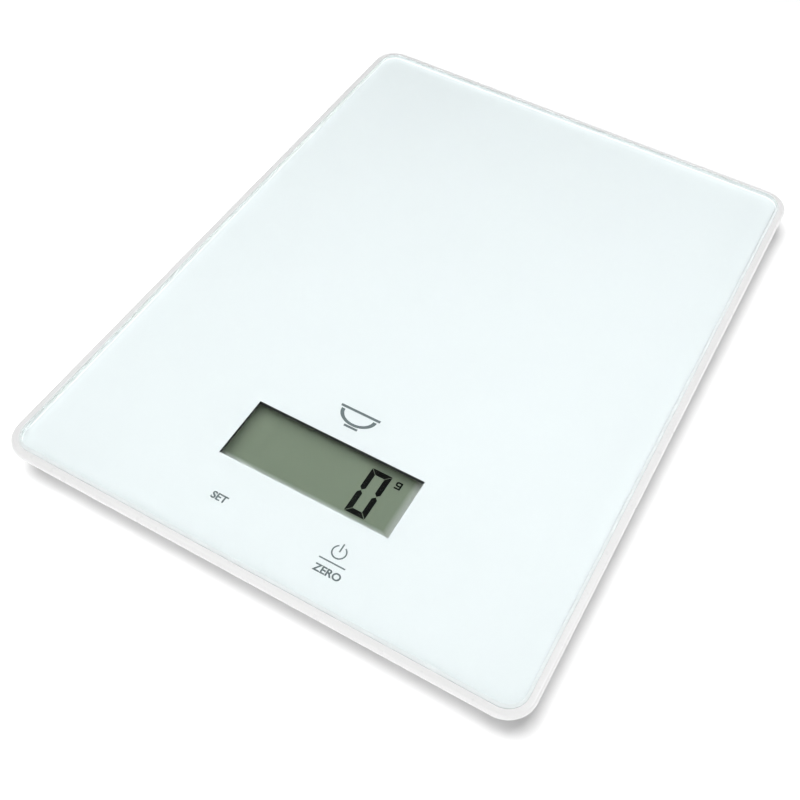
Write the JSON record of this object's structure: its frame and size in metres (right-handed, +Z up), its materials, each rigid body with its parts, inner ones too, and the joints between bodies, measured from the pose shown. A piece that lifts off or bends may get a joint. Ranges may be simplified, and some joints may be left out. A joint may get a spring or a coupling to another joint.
{
  "type": "kitchen scale",
  "caption": "Slim flat kitchen scale: glass weighing platform over a white case, display behind the glass, touch keys, load-cell feet and a battery door underneath.",
  "frame": {"origin": "on the table, under the middle of the case", "axes": "+Y along the case's length, away from the user; +X to the user's right; +Z up"},
  "size_m": [0.17, 0.23, 0.015],
  "materials": {
    "clear_glass": "clear toughened glass with ground and polished edges",
    "white_ink": "fired white ink on the glass's underside",
    "foam_tape": "thin white foam tape",
    "case_white": "glossy white ABS",
    "cover_white": "white ABS with a fine spark texture",
    "label_silver": "blank silver polyester label",
    "lcd_film": "grey-green polariser film",
    "lcd_glass": "thin display glass",
    "lcd_ink": "switched-on display segments",
    "lcd_reflector": "satin reflective film",
    "gasket_foam": "black closed-cell foam",
    "zebra_rubber": "striped conductive silicone",
    "board_laminate": "green solder mask on glass-fibre laminate",
    "chip_epoxy": "black moulding compound",
    "plated_steel": "drawn steel can",
    "ceramic_chips": "ceramic chips with tinned ends",
    "spring_wire": "bright nickel-plated spring wire",
    "cell_steel": "nickel-plated steel can",
    "contact_plating": "bright nickel plating",
    "lead_red": "red PVC insulation",
    "lead_black": "black PVC insulation",
    "lead_white": "white PVC insulation",
    "beam_steel": "nickel-plated spring steel",
    "holder_plastic": "natural white nylon",
    "silicone_bead": "white silicone sealant",
    "foot_plastic": "light grey-white ABS",
    "pad_rubber": "soft grey rubber",
    "screw_zinc": "zinc-plated steel"
  },
  "bodies": {
    "case": {"glass_platform": "clear_glass", "backprint": "white_ink", "platform_tape": "foam_tape", "upper_case": "case_white", "bottom_cover": "cover_white", "rating_plate": "label_silver", "lcd_polariser": "lcd_film", "lcd_front_glass": "lcd_glass", "lcd_segments": "lcd_ink", "lcd_rear_glass": "lcd_glass", "lcd_reflector": "lcd_reflector", "lcd_gasket": "gasket_foam", "zebra_connector": "zebra_rubber", "main_board": "board_laminate", "controller_blob": "chip_epoxy", "converter_chip": "chip_epoxy", "crystal": "plated_steel", "chip_capacitors": "ceramic_chips", "touch_spring_mode": "spring_wire", "touch_spring_zero": "spring_wire", "coin_cell": "cell_steel", "battery_contact_positive": "contact_plating", "battery_contact_negative": "contact_plating", "battery_lead_positive": "lead_red", "battery_lead_negative": "lead_black", "case_screws": "screw_zinc", "board_screws": "screw_zinc", "load_cell_front_left": "beam_steel", "load_cell_holder_front_left": "holder_plastic", "strain_gauge_front_left": "silicone_bead", "load_cell_leads_front_left": "lead_white", "load_cell_front_right": "beam_steel", "load_cell_holder_front_right": "holder_plastic", "strain_gauge_front_right": "silicone_bead", "load_cell_leads_front_right": "lead_white", "load_cell_back_left": "beam_steel", "load_cell_holder_back_left": "holder_plastic", "strain_gauge_back_left": "silicone_bead", "load_cell_leads_back_left": "lead_white", "load_cell_back_right": "beam_steel", "load_cell_holder_back_right": "holder_plastic", "strain_gauge_back_right": "silicone_bead", "load_cell_leads_back_right": "lead_white"},
    "foot_front_left": {"foot_front_left": "foot_plastic", "foot_pad_front_left": "pad_rubber"},
    "foot_front_right": {"foot_front_right": "foot_plastic", "foot_pad_front_right": "pad_rubber"},
    "foot_back_left": {"foot_back_left": "foot_plastic", "foot_pad_back_left": "pad_rubber"},
    "foot_back_right": {"foot_back_right": "foot_plastic", "foot_pad_back_right": "pad_rubber"},
    "battery_door": {"battery_door": "cover_white"}
  },
  "joints": [
    {"name": "foot_front_left_press", "type": "slide", "parent": "case", "child": "foot_front_left", "axis": [0, 0, 1], "range_m": [0, 0.0004], "stiffness_N_per_m": 200, "springref_m": -0.008, "deforming": ["load_cell_front_left"]},
    {"name": "foot_front_right_press", "type": "slide", "parent": "case", "child": "foot_front_right", "axis": [0, 0, 1], "range_m": [0, 0.0004], "stiffness_N_per_m": 200, "springref_m": -0.008, "deforming": ["load_cell_front_right"]},
    {"name": "foot_back_left_press", "type": "slide", "parent": "case", "child": "foot_back_left", "axis": [0, 0, 1], "range_m": [0, 0.0004], "stiffness_N_per_m": 200, "springref_m": -0.008, "deforming": ["load_cell_back_left"]},
    {"name": "foot_back_right_press", "type": "slide", "parent": "case", "child": "foot_back_right", "axis": [0, 0, 1], "range_m": [0, 0.0004], "stiffness_N_per_m": 200, "springref_m": -0.008, "deforming": ["load_cell_back_right"]},
    {"name": "battery_door_hinge", "type": "hinge", "parent": "case", "child": "battery_door", "pos_m": [0, -0.0172, 0.0032], "axis": [1, 0, 0], "range_deg": [0, 75]}
  ]
}
